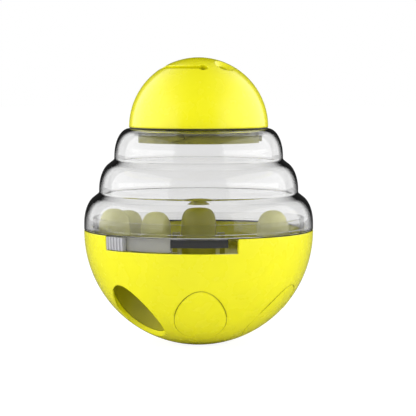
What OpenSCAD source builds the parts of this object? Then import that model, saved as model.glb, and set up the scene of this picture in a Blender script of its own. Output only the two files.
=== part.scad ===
// Treat dispensing tumbler: round-bottomed bowl, clear three-tier cover and round cap.
// Sizes in millimetres. +Z is up and the origin is the middle of the small flat that it stands on.
// Angles run round +Z from the front (-Y) towards +X.

/* [Overall] */
// Radius of the bowl and of the cover's foot
ball_r = 50; // [49:0.5:53]
// Height from the floor to the top of the cap
total_h = 125; // [122:1:135]
// How deep the bottom of the ball is cut flat
flat_depth = 0.4; // [0.2:0.05:0.6]
// Height of the bowl's rim above the middle of the ball
rim_rise = 0.4; // [0:0.05:1]

/* [Bowl] */
// Wall of the bowl
bowl_wall = 2; // [1.8:0.1:2.2]
// Angle at which the rim's notch starts
notch_from = -51.3; // [-53:0.5:-49]
// Angle at which the rim's notch ends
notch_to = 19.4; // [18:0.5:24]
// Depth of the notch below the rim
notch_depth = 6.1; // [5.8:0.1:6.6]
// Radius of the outlet
outlet_r = 11; // [10.5:0.1:11.3]
// Distance of the outlet's middle from the side of the ball
outlet_inset = 15.6; // [15.4:0.2:16.2]
// Angle of the outlet and of the treat opening
outlet_az = -47.5; // [-49:0.5:-46]
// Wall of the chute above the outlet
chute_wall = 1.3; // [1:0.1:1.5]
// Radius of the round blanks
blank_r = 11; // [10:0.1:11.3]
// Distance of a blank's middle from the side of the ball
blank_inset = 16; // [15.6:0.2:16.6]
// Angle of the first blank
blank_az = 1.2; // [0:0.2:3]
// Angle from one blank to the next
blank_step = 60; // [58:0.5:61]
// Width of the flange behind a blank
blank_flange = 1.3; // [1:0.1:1.5]

/* [Weight and pedestal] */
// Space between the counterweight and the blanks
weight_space = 2.7; // [2.2:0.1:4]
// Height of the counterweight's top
weight_top = 20; // [14:0.5:21]
// Thickness of the pad on the counterweight
pad_t = 0.8; // [0.6:0.1:1.2]
// Thickness of the pedestal's plate
plate_t = 2; // [1.6:0.1:2.6]
// Outer radius of the pedestal's tube
pedestal_r = 11.5; // [10.5:0.5:13]
// How far the pedestal's screws lie inside the middles of the blanks
boss_inset = 10; // [9.6:0.1:10.4]
// Radius of the bosses under the pedestal's screws
boss_r = 3.5; // [3.2:0.1:3.8]

/* [Tray] */
// Depth of the tray's floor below the rim
tray_drop = 11; // [10:0.5:12]
// Thickness of the tray's floor
tray_t = 2; // [1.8:0.1:2.4]
// Radius of the treat opening
treat_r = 9.5; // [8.5:0.25:9.75]
// How far the treat opening lies inside the outlet
treat_offset = 1.4; // [1:0.1:2]
// Height of the tray's curb
curb_h = 2; // [1.5:0.25:3]
// Radius of a peg at its foot
peg_r = 6.3; // [5.8:0.1:6.4]
// Wall of a peg
peg_wall = 1.4; // [1.2:0.1:1.8]
// Radius of the column
column_r = 7.8; // [7:0.1:8]
// Height of the column's shoulder above the tray
shoulder_h = 7.4; // [6.5:0.2:8]
// Height of the column cap above the tray
column_h = 21.2; // [19:0.2:23]

/* [Adjusting ring] */
// Wall of the ring
ring_wall = 1.6; // [1.4:0.1:1.8]
// Height of the ring above the rim
ring_rise = 5.6; // [4:0.2:6.5]
// Thickness of the gate leaf
leaf_t = 1.2; // [1:0.1:1.5]
// Angle at which the gate leaf starts
leaf_from = -67; // [-67.5:0.5:-65.5]
// Angle at which the gate leaf ends
leaf_to = -12; // [-28:1:-12]
// Depth of the upper band that shows in the notch
band_h = 2.1; // [1.6:0.1:2.6]
// Angle that the thumb tab covers
tab_arc = 11.4; // [10:0.2:13]
// Number of ribs on the thumb tab
tab_ribs = 5; // [3:1:7]

/* [Cover] */
// Wall of the clear cover
cover_wall = 1.8; // [1.6:0.1:1.9]
// Height of the straight foot
foot_h = 2.67; // [2:0.1:3.4]
// Height of the straight riser and its fillet between two shoulders
riser_h = 1.9; // [1.6:0.1:2.6]
// Share of the width between foot and cap that the lowest shoulder takes
low_share = 0.3127; // [0.29:0.01:0.35]
// Share of that width that the middle shoulder takes
middle_share = 0.338; // [0.31:0.01:0.36]
// Hollow fillet at each step
step_fillet = 1.3; // [1:0.1:1.6]
// Height that the cover rises in one full turn
cover_lead = 60; // [55:1:65]

/* [Cap] */
// Radius of the cap
cap_r = 30.33; // [29.8:0.1:31]
// Wall of the cap
cap_wall = 2.2; // [1.8:0.1:2.2]
// How far the cap's neck lies inside the cap
neck_inset = 4.03; // [4:0.1:4.6]
// Wall of the neck
neck_wall = 2; // [1.6:0.1:2.4]
// Depth of the neck below the cap's edge
neck_depth = 6.6; // [6.4:0.1:7.5]
// Height that the cap rises in one full turn
cap_lead = 45; // [42:1:50]
// Width of the slit in the cap
slit_w = 1.2; // [0.8:0.1:1.6]
// Angle at which the slit starts
slit_from = -90; // [-100:1:-80]
// Angle at which the slit ends
slit_to = 7; // [0:1:14]
// Radius of each hole in the cap
cap_hole_r = 2.3; // [1.8:0.1:2.8]

/* [Fits] */
// Gap beside a piece that turns or slides
slide_gap = 0.3; // [0.25:0.01:0.35]
// Gap beside a piece that is glued or pressed in
glue_gap = 0.08; // [0.05:0.01:0.15]
// Thickness of the seal between bowl and cover
seal_t = 0.4; // [0.3:0.05:0.6]
// Thickness of the seal under the cap's edge
cap_seal_t = 0.7; // [0.5:0.05:0.9]

/* [Hidden] */
$fn = 96;

yellow = "#f0e62c";
yellow_inside = "#d9cc22";
clear = [0.86, 0.9, 0.92, 0.3];
smoke = [0.5, 0.5, 0.52, 0.55];
pale_grey = "#c9c9cc";
dark_grey = "#3a3a3c";
steel = "#9aa0a6";
iron = "#55585c";

// A cut runs this far past the face that it opens
over = 1;
hair = 0.01;

// Ball, rim and what is placed from them
ball_z = ball_r - flat_depth;
rim_z = ball_z + rim_rise;
tray_top = rim_z - tray_drop;
outlet_pos = ball_r - outlet_inset;
treat_pos = outlet_pos - treat_offset;
blank_pos = ball_r - blank_inset;
boss_pos = blank_pos - boss_inset;
inner_r = ball_r - bowl_wall;
weight_r = blank_pos - blank_r - blank_flange - weight_space;
function inside_at(z) = sqrt(pow(inner_r, 2) - pow(z - ball_z, 2));
notch_z = rim_z - notch_depth;
foot_z = rim_z + seal_t;

// Radii of what nests in the rim, from the outside in
tongue_t = 1;
tongue_out = inner_r - 0.5;
tongue_in = tongue_out - tongue_t;
collar_in = tongue_in - 0.1;
ring_out = collar_in - slide_gap;
ring_in = ring_out - ring_wall;
band_out = inside_at(notch_z) - slide_gap;

// Floor of the tray and the ledge under its edge
tray_low = tray_top - tray_t;
ledge_t = 1.5;

// Blanks, each a disc flush with the ball and a flange behind it
blank_count = 5;
flange_t = 1.4;
blank_top = tray_low - ledge_t - 1.5;

// Weight, pedestal and their screws
boss_angles = [for (i = [0:2]) blank_az + (0.5 + 2 * i) * blank_step];
pad_top = weight_top + pad_t;
plate_top = pad_top + plate_t;
ear_r = boss_r + 0.5;
tube_t = 2.2;
flare = 4;
ear_from = (pedestal_r + flare + weight_r) / 2;
pillar_r = 4.5;
pillar_h = 13;
screw_r = 1.45;
pilot_r = screw_r + 0.05;
screw_hole_r = screw_r + 0.25;
head_r = 3;
head_h = 2;
screw_bite = 8;

// Tray
tray_r = inside_at(tray_low) - slide_gap;
ledge_in = ring_in - 1.6;
curb_out = ring_in - slide_gap;
curb_t = 1.5;
curb_from = 72;
curb_to = 264;
column_bore = 4.6;
column_base_r = column_r - 0.4;
column_floor = 2;
tray_screw_l = 15;

// Column cap, held by two hooks on the tray
shoulder_z = tray_top + shoulder_h;
flange_r = column_r + 1.1;
flange_h = 0.9;
hook_t = 2.2;
hook_w = 4.4;
hook_gap = 0.35;
nose_h = 0.9;

// Pegs: name, angle, distance from the ring's wall and height above the tray
tall_peg_h = 20.6;
short_peg_h = 18.6;
outer_peg_inset = 7.4;
PEGS = [
    ["peg_left", -78.3, outer_peg_inset, tall_peg_h],
    ["peg_left_rear", -112.5, 10.5, short_peg_h],
    ["peg_inner", -96.1, 25.7, short_peg_h],
    ["peg_right", 57.5, outer_peg_inset, tall_peg_h]
];
peg_stub_h = 2.5;
peg_draft = 0.7;
peg_round_h = 8;
column_round_h = 5.5;
column_draft = 0.2;

// Adjusting ring: it runs on the tray, shows in the notch and carries the gate leaf
ring_low = tray_top + 0.2;
ring_top = rim_z + ring_rise;
band_top = rim_z - slide_gap;
band_low = notch_z + slide_gap;
skirt_to = -10.5;
window_low = tray_top + leaf_t + 1.2;
window_to = 16.5;
leaf_in = treat_pos - treat_r - 0.7;
stop_gap = 0.35;
tab_from = notch_from + stop_gap;
tab_to = tab_from + tab_arc;
band_to = notch_to - 2;
rib_depth = 0.5;

// Cover
cap_z = total_h - cap_r;
edge_gap = 0.2;
cover_top = cap_z - edge_gap;
tier_step = (cap_z - foot_z - foot_h + riser_h) / 3;
shoulder_rise = tier_step - riser_h;
tier_2_r = ball_r - low_share * (ball_r - cap_r);
tier_1_r = tier_2_r - middle_share * (ball_r - cap_r);
tier_1_z = cap_z - shoulder_rise;
tier_2_z = tier_1_z - tier_step;
tier_3_z = tier_2_z - tier_step;
collar_h = 1.2;
neck_r = cap_r - neck_inset;
neck_low = cap_z - neck_depth;
mouth_in = neck_r + slide_gap;
mouth_t = 1.6;
mouth_out = mouth_in + mouth_t;
seal_in = mouth_out + 0.6;
seal_out = cap_r - 0.4;
curve_steps = 10;

// Lugs that hold the cover in the bowl
cover_lugs = [100, 180, 260];
tongue_arc = 16;
tongue_low = rim_z - 4.1;
cover_lug_z = rim_z - 2.7;
cover_lug_h = 1.6;
cover_lug_arc = 7;
cover_lug_out = inner_r + 0.4;
cover_exit = 25;

// Lugs that hold the cap in the cover
cap_lugs = [-20, 100, 220];
cap_lug_z = neck_low + 2.6;
cap_lug_h = 2.4;
cap_lug_arc = 14;
cap_lug_out = mouth_out - 0.4;
cap_exit = 48;
lug_gap = 0.45;
groove_pieces = 3;
lug_gap_arc = 0.75;

// Cap and neck
neck_plate_z = cap_z + 1.7;
neck_plate_t = 1.6;
neck_flange_r = cap_r - cap_wall - 0.35;
cap_screw_pos = neck_r - neck_wall - 5.3;
cap_screw_angles = [30, 150, 270];
cap_screw_r = 1.2;
cap_screw_l = 8;
cap_head_r = 2.4;
cap_head_h = 1.8;
cap_boss_r = 2.8;
smell_holes = 6;
smell_hole_r = 2;
smell_hole_pos = cap_screw_pos - 8;
slit_tilt = 30.7;
slit_end_r = 1.3;
cap_hole_tilt = 28;
cap_hole_turn = 91.5;
dimple_r = 6;
dimple_depth = 1.2;

// Puts a child, drawn on +X, at angle az and distance r
module at_az(az, r = 0) {
    rotate([0, 0, az - 90]) translate([r, 0, 0]) children();
}

// Part of a ring of rectangular section, from one angle to another
module arc_wall(r1, r2, z1, z2, from, to) {
    rotate([0, 0, from - 90]) rotate_extrude(angle = to - from)
        translate([r1, z1]) square([r2 - r1, z2 - z1]);
}

// A full ring of rectangular section
module ring_wall_solid(r1, r2, z1, z2) {
    difference() {
        translate([0, 0, z1]) cylinder(r = r2, h = z2 - z1);
        translate([0, 0, z1 - over]) cylinder(r = r1, h = z2 - z1 + 2 * over);
    }
}

// Part of a ring that climbs with the angle as a thread does, level at angle mid and height z
module climbing_arc(r1, r2, h, z, mid, from, to, lead) {
    climb = atan(lead / (PI * (r1 + r2)));
    translate([0, 0, z]) rotate([0, 0, mid - 90]) rotate([climb, 0, 0]) rotate([0, 0, from - mid])
        rotate_extrude(angle = to - from) translate([r1, -h / 2]) square([r2 - r1, h]);
}

// A lug at rest, at angle az and height z
module lug(r1, r2, h, z, az, arc, lead) {
    climbing_arc(r1, r2, h, z, az, az - arc / 2, az + arc / 2, lead);
}

// The groove that a lug climbs through until it is free, made of short sloping pieces in turn
module lug_groove(r1, r2, h, z, az, arc, lead, way_out) {
    from = az - arc / 2 - lug_gap_arc;
    piece = (way_out + arc + lug_gap_arc) / groove_pieces;
    for (i = [0:groove_pieces - 1]) {
        start = from + i * piece;
        mid = start + piece / 2;
        rise = (mid - az) * lead / 360;
        climbing_arc(r1, r2, h + 2 * lug_gap, z + rise, mid, start, start + piece + 1, lead);
    }
}

// The ball, cut flat at the bottom and at height top
module ball(r, top) {
    intersection() {
        translate([0, 0, ball_z]) sphere(r = r);
        cylinder(r = ball_r + over, h = top);
    }
}

// An upright cylinder through the bowl's wall, below height top
module upright(az, pos, r, top) {
    at_az(az, pos) translate([0, 0, -over]) cylinder(r = r, h = top + over);
}

module bowl_shell() {
    color(yellow) difference() {
        union() {
            difference() {
                ball(ball_r, rim_z);
                translate([0, 0, ball_z]) sphere(r = inner_r);
            }
            intersection() {
                ball(inner_r + bowl_wall / 2, rim_z);
                tray_ledge();
            }
            intersection() {
                ball(inner_r + bowl_wall / 2, pad_top);
                weight_bosses();
            }
        }
        arc_wall(inner_r - 2 * over, ball_r + over, notch_z, rim_z + over, notch_from, notch_to);
        upright(outlet_az, outlet_pos, outlet_r, tray_low + over);
        for (i = [1:blank_count]) upright(blank_angle(i), blank_pos, blank_r, blank_top);
        for (az = cover_lugs)
            lug_groove(inner_r - 3, cover_lug_out + lug_gap, cover_lug_h, cover_lug_z, az, cover_lug_arc,
                cover_lead, cover_exit);
        for (az = boss_angles)
            at_az(az, boss_pos) translate([0, 0, plate_top - screw_bite - 0.5])
                cylinder(r = pilot_r, h = screw_bite);
    }
}

// Ledge under the tray's edge, open where the chute comes up
module tray_ledge() {
    difference() {
        ring_wall_solid(ledge_in, ball_r, tray_low - ledge_t, tray_low);
        upright(outlet_az, outlet_pos, outlet_r + chute_wall + slide_gap, tray_low + over);
    }
}

// Bosses for the pedestal's screws
module weight_bosses() {
    for (az = boss_angles) at_az(az, boss_pos) cylinder(r = boss_r, h = pad_top);
}

module outlet_chute() {
    color(yellow_inside) difference() {
        intersection() {
            ball(inner_r - glue_gap, tray_low - glue_gap);
            at_az(outlet_az, outlet_pos) cylinder(r = outlet_r + chute_wall, h = tray_low);
        }
        upright(outlet_az, outlet_pos, outlet_r, tray_low + over);
    }
}

function blank_angle(i) = blank_az + (i - 1) * blank_step;

module outlet_blank(i) {
    color(yellow) difference() {
        union() {
            intersection() {
                ball(ball_r, blank_top);
                at_az(blank_angle(i), blank_pos) cylinder(r = blank_r - glue_gap, h = ball_z);
            }
            intersection() {
                ball(inner_r - glue_gap, blank_top);
                at_az(blank_angle(i), blank_pos) cylinder(r = blank_r + blank_flange, h = ball_z);
            }
        }
        translate([0, 0, ball_z]) sphere(r = inner_r - flange_t);
    }
}

module counterweight() {
    color(iron) intersection() {
        ball(inner_r - slide_gap, weight_top);
        cylinder(r = weight_r, h = weight_top);
    }
}

module weight_pad() {
    color(dark_grey) translate([0, 0, weight_top]) cylinder(r = weight_r, h = pad_t);
}

module pedestal() {
    color(yellow_inside) difference() {
        union() {
            for (az = boss_angles) {
                at_az(az, boss_pos) translate([0, 0, pad_top]) cylinder(r = ear_r, h = plate_t);
                at_az(az, ear_from) translate([0, -ear_r, pad_top])
                    cube([boss_pos - ear_from, 2 * ear_r, plate_t]);
            }
            rotate_extrude() polygon([
                [0, pad_top], [weight_r, pad_top], [weight_r, plate_top], [pedestal_r + flare, plate_top],
                [pedestal_r, plate_top + flare], [pedestal_r, tray_low], [0, tray_low]
            ]);
        }
        translate([0, 0, plate_top]) cylinder(r = pedestal_r - tube_t, h = tray_low - tube_t - plate_top);
        for (az = boss_angles) at_az(az, boss_pos) cylinder(r = screw_hole_r, h = tray_low);
        translate([0, 0, plate_top]) cylinder(r = pilot_r, h = tray_low);
    }
    color(yellow_inside) difference() {
        translate([0, 0, tray_low - pillar_h]) cylinder(r = pillar_r, h = pillar_h - tube_t / 2);
        translate([0, 0, plate_top]) cylinder(r = pilot_r, h = tray_low);
    }
}

// A round-headed screw that points down, its head resting at height z
module screw_down(z, r, l, hr, hh) {
    translate([0, 0, z - l]) cylinder(r = r, h = l + hh / 2);
    translate([0, 0, z]) cylinder(r = hr, h = hh);
}

module pedestal_screws() {
    color(steel) for (az = boss_angles)
        at_az(az, boss_pos) screw_down(plate_top, screw_r, screw_bite, head_r, head_h);
}

module treat_tray() {
    color(yellow_inside) difference() {
        union() {
            translate([0, 0, tray_low]) cylinder(r = tray_r, h = tray_t);
            arc_wall(curb_out - curb_t, curb_out, tray_top - 0.5, tray_top + curb_h, curb_from, curb_to);
            translate([0, 0, tray_low]) cylinder(r = column_base_r, h = tray_t + shoulder_h);
            for (p = PEGS) at_az(p[1], ring_in - p[2]) translate([0, 0, tray_low])
                cylinder(r = peg_r - peg_draft - peg_wall - glue_gap, h = tray_t + peg_stub_h);
            for (side = [0, 180]) rotate([0, 0, side]) hook();
        }
        at_az(outlet_az, treat_pos) translate([0, 0, tray_low - over])
            cylinder(r = treat_r, h = tray_t + 2 * over);
        translate([0, 0, tray_top + column_floor]) cylinder(r = column_bore, h = shoulder_h);
        translate([0, 0, tray_low - over]) cylinder(r = screw_hole_r, h = tray_t + shoulder_h);
    }
}

// One of the two hooks that hold the column cap
module hook() {
    inner = flange_r + hook_gap;
    nose_z = shoulder_z + flange_h + 0.2;
    translate([inner, -hook_w / 2, tray_low]) cube([hook_t, hook_w, nose_z + nose_h - tray_low]);
    translate([column_r + hook_gap, -hook_w / 2, nose_z])
        cube([inner - column_r - hook_gap + hook_t / 2, hook_w, nose_h]);
}

module tray_screw() {
    color(steel) screw_down(tray_top + column_floor, screw_r, tray_screw_l, head_r, head_h);
}

// Half outline of a round-topped peg: straight draft up to a rounded top
function dome_outline(foot, draft, h, round_h, grow = 0) = concat(
    [[0, 0], [foot + grow, 0]],
    [for (a = [0:10:90]) [(foot - draft + grow) * pow(cos(a), 0.8), h - round_h + (round_h + grow) * sin(a)]]
);

module peg(p) {
    color(yellow_inside) at_az(p[1], ring_in - p[2]) translate([0, 0, tray_top]) difference() {
        rotate_extrude() polygon(dome_outline(peg_r, peg_draft, p[3], peg_round_h));
        translate([0, 0, -hair]) rotate_extrude()
            polygon(dome_outline(peg_r, peg_draft, p[3], peg_round_h, -peg_wall));
    }
}

module column_cap() {
    cap_h = column_h - shoulder_h;
    color(yellow_inside) translate([0, 0, shoulder_z]) difference() {
        union() {
            rotate_extrude() polygon(dome_outline(column_r, column_draft, cap_h, column_round_h));
            cylinder(r = flange_r, h = flange_h);
        }
        translate([0, 0, -hair]) rotate_extrude()
            polygon(dome_outline(column_r, column_draft, cap_h, column_round_h, -peg_wall));
    }
}

module adjusting_ring() {
    color(smoke) difference() {
        union() {
            ring_wall_solid(ring_in, ring_out, ring_low, ring_top);
            arc_wall(ring_in + 0.2, band_out, band_top - band_h, band_top, tab_from - 1, band_to);
            arc_wall(ring_in + 0.2, band_out, band_low, band_top, tab_from - 1, skirt_to);
            arc_wall(leaf_in, ring_in + 0.2, ring_low, ring_low + leaf_t, leaf_from, leaf_to);
        }
        arc_wall(ring_in - over, ring_out + over / 4, window_low, band_low, skirt_to, window_to);
        arc_wall(ring_in - over, band_out + over, band_low - 0.1, band_top - band_h, skirt_to, window_to);
    }
}

module thumb_tab() {
    rib_arc = (tab_arc - 2) / (2 * tab_ribs - 1);
    color(pale_grey) difference() {
        intersection() {
            ball(ball_r, band_top);
            arc_wall(band_out + glue_gap, ball_r + over, band_low, band_top, tab_from, tab_to);
        }
        for (i = [0:tab_ribs - 1]) {
            from = tab_from + 1 + 2 * i * rib_arc;
            arc_wall(ball_r - rib_depth, ball_r + over, band_low - over, rim_z + over, from, from + rib_arc);
        }
    }
}

module cover_seal() {
    color(dark_grey) ring_wall_solid(inner_r + 0.3, ball_r - 0.3, rim_z, foot_z);
}

// One tier's shoulder with the hollow fillet above it, inset by w from the outer surface
function shoulder_points(r, z, rise, next_r, w) =
    let (a = r - next_r, end = acos(step_fillet / (a - w)), top = z + rise * sin(acos(step_fillet / a)))
    let (x = next_r + step_fillet, y = top + step_fillet, fillet = step_fillet + w)
    concat(
        [for (i = [0:curve_steps])
            [next_r + (a - w) * cos(end * i / curve_steps), z + (rise - w) * sin(end * i / curve_steps)]],
        [for (t = [260:-20:180]) [x + fillet * cos(t), y + fillet * sin(t)]]
    );

// The top shoulder, which ends under the cap's edge
function crown_points(w) = [for (i = [0:curve_steps])
    [cap_r + (tier_1_r - cap_r - w) * cos(88 * i / curve_steps),
        tier_1_z + (cover_top - tier_1_z - w) * sin(88 * i / curve_steps)]];

function cover_side(w) = concat(
    shoulder_points(ball_r, tier_3_z, shoulder_rise - 0.1, tier_2_r, w),
    shoulder_points(tier_2_r, tier_2_z, shoulder_rise - 0.1, tier_1_r, w),
    crown_points(w)
);

function reversed(list) = [for (i = [len(list) - 1:-1:0]) list[i]];

module clear_cover() {
    color(clear) difference() {
        union() {
            rotate_extrude() polygon(concat(
                [[collar_in, foot_z], [ball_r, foot_z]],
                cover_side(0),
                [[mouth_in, cover_top], [mouth_in, neck_low + 0.4], [mouth_out, neck_low + 0.4],
                    [mouth_out, cover_top - cover_wall]],
                reversed(cover_side(cover_wall)),
                [[ball_r - cover_wall, foot_z + collar_h], [collar_in, foot_z + collar_h]]
            ));
            for (az = cover_lugs) {
                arc_wall(tongue_in, tongue_out, tongue_low, foot_z + collar_h / 2,
                    az - tongue_arc / 2, az + tongue_arc / 2);
                lug(tongue_out - 0.3, cover_lug_out, cover_lug_h, cover_lug_z, az, cover_lug_arc, cover_lead);
            }
        }
        ring_wall_solid(seal_in - glue_gap, seal_out + glue_gap, cap_z - cap_seal_t, cap_z + over);
        for (az = cap_lugs)
            lug_groove(mouth_in - over, mouth_out + over / 4, cap_lug_h, cap_lug_z, az, cap_lug_arc,
                cap_lead, cap_exit);
    }
}

module cap_seal() {
    color(dark_grey) ring_wall_solid(seal_in, seal_out, cap_z - cap_seal_t, cap_z);
}

module top_cap() {
    boss_low = neck_plate_z + neck_plate_t;
    slit_mid = (slit_from + slit_to) / 2;
    color(yellow) translate([0, 0, cap_z]) difference() {
        union() {
            difference() {
                half_ball(cap_r);
                sphere(r = cap_r - cap_wall);
            }
            intersection() {
                half_ball(cap_r - cap_wall / 2);
                for (az = cap_screw_angles) at_az(az, cap_screw_pos)
                    translate([0, 0, boss_low - cap_z]) cylinder(r = cap_boss_r, h = cap_r);
            }
        }
        rotate([0, 0, slit_from - 90]) rotate_extrude(angle = slit_to - slit_from)
            rotate(90 - slit_tilt) translate([cap_r - cap_wall - over, -slit_w / 2])
                square([cap_wall + 2 * over, slit_w]);
        for (az = [slit_from, slit_to])
            on_cap(az, slit_tilt) cylinder(r = slit_end_r, h = cap_wall + 2 * over);
        for (side = [-1, 1]) on_cap(slit_mid + side * cap_hole_turn, cap_hole_tilt) {
            cylinder(r = cap_hole_r, h = cap_wall + 2 * over);
            translate([0, 0, cap_wall + over - dimple_depth + dimple_r]) sphere(r = dimple_r);
        }
        for (az = cap_screw_angles) at_az(az, cap_screw_pos)
            translate([0, 0, boss_low - cap_z - over]) cylinder(r = cap_screw_r + 0.05, h = cap_screw_l);
    }
}

// The upper half of a ball
module half_ball(r) {
    intersection() {
        sphere(r = r);
        cylinder(r = r + over, h = r + over);
    }
}

// Points a child out of the cap at an angle and a tilt from the top, starting inside its wall
module on_cap(az, tilt) {
    rotate([0, 0, az - 90]) rotate([0, tilt, 0]) translate([0, 0, cap_r - cap_wall - over]) children();
}

module cap_neck() {
    color(yellow_inside) difference() {
        union() {
            translate([0, 0, neck_low]) cylinder(r = neck_r, h = neck_plate_z - neck_low + neck_plate_t / 2);
            translate([0, 0, neck_plate_z]) cylinder(r = neck_flange_r, h = neck_plate_t);
            for (az = cap_lugs)
                lug(neck_r - 0.5, cap_lug_out, cap_lug_h, cap_lug_z, az, cap_lug_arc, cap_lead);
        }
        translate([0, 0, neck_low - over])
            cylinder(r = neck_r - neck_wall, h = neck_plate_z - neck_low + over);
        for (az = cap_screw_angles) at_az(az, cap_screw_pos) translate([0, 0, neck_low])
            cylinder(r = cap_screw_r + 0.2, h = cap_r);
        for (i = [0:smell_holes - 1]) at_az(i * 360 / smell_holes, smell_hole_pos) translate([0, 0, neck_low])
            cylinder(r = smell_hole_r, h = cap_r);
    }
}

module cap_screws() {
    color(steel) for (az = cap_screw_angles) at_az(az, cap_screw_pos) {
        translate([0, 0, neck_plate_z - cap_head_h]) cylinder(r = cap_head_r, h = cap_head_h);
        translate([0, 0, neck_plate_z - cap_head_h / 2]) cylinder(r = cap_screw_r, h = cap_screw_l);
    }
}

bowl_shell();
outlet_chute();
for (i = [1:blank_count]) outlet_blank(i);
counterweight();
weight_pad();
pedestal();
pedestal_screws();
treat_tray();
tray_screw();
for (p = PEGS) peg(p);
column_cap();
adjusting_ring();
thumb_tab();
cover_seal();
clear_cover();
cap_seal();
top_cap();
cap_neck();
cap_screws();
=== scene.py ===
"""Dresses the treat dispensing tumbler: yellow bowl and cap, clear stepped cover, pegs and smoky ring.

Lengths are in metres, +Z is up and angles run round +Z from the front (-Y) towards +X.
"""
import math
from functools import partialmethod

import bmesh
import bpy
import numpy as np
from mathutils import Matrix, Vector


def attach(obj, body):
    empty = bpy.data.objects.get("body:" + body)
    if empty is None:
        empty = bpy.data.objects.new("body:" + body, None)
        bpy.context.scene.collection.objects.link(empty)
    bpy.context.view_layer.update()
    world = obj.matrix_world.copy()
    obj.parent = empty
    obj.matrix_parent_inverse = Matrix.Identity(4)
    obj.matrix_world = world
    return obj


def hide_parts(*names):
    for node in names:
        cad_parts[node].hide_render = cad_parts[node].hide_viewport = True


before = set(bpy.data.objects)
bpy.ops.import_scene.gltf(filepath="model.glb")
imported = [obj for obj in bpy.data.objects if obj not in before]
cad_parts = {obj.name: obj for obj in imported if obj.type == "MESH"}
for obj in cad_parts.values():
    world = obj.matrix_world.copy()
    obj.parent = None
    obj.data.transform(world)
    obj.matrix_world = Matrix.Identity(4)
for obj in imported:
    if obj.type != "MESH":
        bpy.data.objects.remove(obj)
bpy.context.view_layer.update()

bl_info = {
    "name": "Treat Tumbler",
    "version": (1, 0, 0),
    "blender": (4, 5, 0),
    "location": "View3D > Sidebar > Tumbler",
    "description": "Builds the visible pieces of a treat dispensing tumbler and its studio",
    "category": "Add Mesh",
}
# Corners of a piece that are nearer than this, in metres, are one
WELD = 2e-6
# Edges that bend more than this, in degrees, are rounded
BEVEL_FROM = 38.0
# The levels between which most of a noise lies
NOISE_ENDS = (0.3, 0.7)
PLASTIC_IOR = 1.49


def length(description, default):
    """A size in metres."""
    return bpy.props.FloatProperty, dict(
        description=description, default=default, precision=5, unit="LENGTH", subtype="DISTANCE")


def angle(description, degrees):
    """An angle, written in degrees and kept in radians."""
    return bpy.props.FloatProperty, dict(
        description=description, default=math.radians(degrees), unit="ROTATION", subtype="ANGLE")


def number(description, default, unit="NONE"):
    """A plain number."""
    return bpy.props.FloatProperty, dict(description=description, default=default, precision=4, unit=unit)


def colour(description, default):
    """A colour in linear light."""
    return bpy.props.FloatVectorProperty, dict(
        description=description, default=default, size=3, min=0.0, max=1.0, subtype="COLOR")


def named(group):
    """Names each setting of a group after its field, such as Slit width for slit_width."""
    for field, (kind, options) in group.__annotations__.items():
        group.__annotations__[field] = kind(name=field.replace("_", " ").capitalize(), **options)
    return group


@named
class BowlSizes(bpy.types.PropertyGroup):
    """Sizes of the bowl, its notch and its round openings"""
    radius: length("Outer radius of the ball", 0.050)
    wall: length("Thickness of the wall", 0.002)
    middle: length("Height of the ball's middle", 0.0496)
    rim: length("Height of the rim", 0.050)
    notch_low: length("Height of the notch's floor", 0.0439)
    notch_from: angle("Where the notch starts", -51.3)
    notch_to: angle("Where the notch ends", 19.4)
    hole: length("Radius of the outlet and of each blank's seat", 0.011)
    outlet_reach: length("Distance of the outlet's middle from the axis", 0.0344)
    outlet_angle: angle("Angle of the outlet", -47.5)
    blank_reach: length("Distance of a blank's middle from the axis", 0.034)
    blank_angle: angle("Angle of the first blank", 1.2)
    blank_step: angle("Angle between blanks", 60)
    blank_gap: length("Glue gap round a blank", 0.00008)
    blank_top: length("Height at which a blank's flange is cut off", 0.034)
    flange: length("Reach of a blank's flange past its opening", 0.0013)
    flange_wall: length("Thickness of a blank's flange", 0.0014)
    belt: length("Radius up to which the openings are laid out", 0.0475)
    edge: length("Rounding of the edges", 0.00028)


@named
class CapSizes(bpy.types.PropertyGroup):
    """Sizes of the domed cap"""
    radius: length("Outer radius of the cap", 0.03033)
    wall: length("Thickness of the wall", 0.0022)
    low: length("Height of the cap's edge", 0.09467)
    slit_width: length("Width of the slit", 0.0022)
    slit_tilt: angle("Angle of the slit from the top", 30.7)
    slit_from: angle("Where the slit starts", -90)
    slit_to: angle("Where the slit ends", 7)
    slit_bulb: length("Radius of the slit's round ends", 0.0021)
    hole: length("Radius of the two holes", 0.0025)
    hole_tilt: angle("Angle of the holes from the top", 28)
    hole_right: angle("Angle of the hole on the right", 50)
    hole_left: angle("Angle of the hole at the back left", -133)
    dish: length("Radius of the hollow round each hole", 0.006)
    dish_depth: length("Depth of that hollow", 0.0021)
    edge: length("Rounding of the edges", 0.0003)


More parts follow.
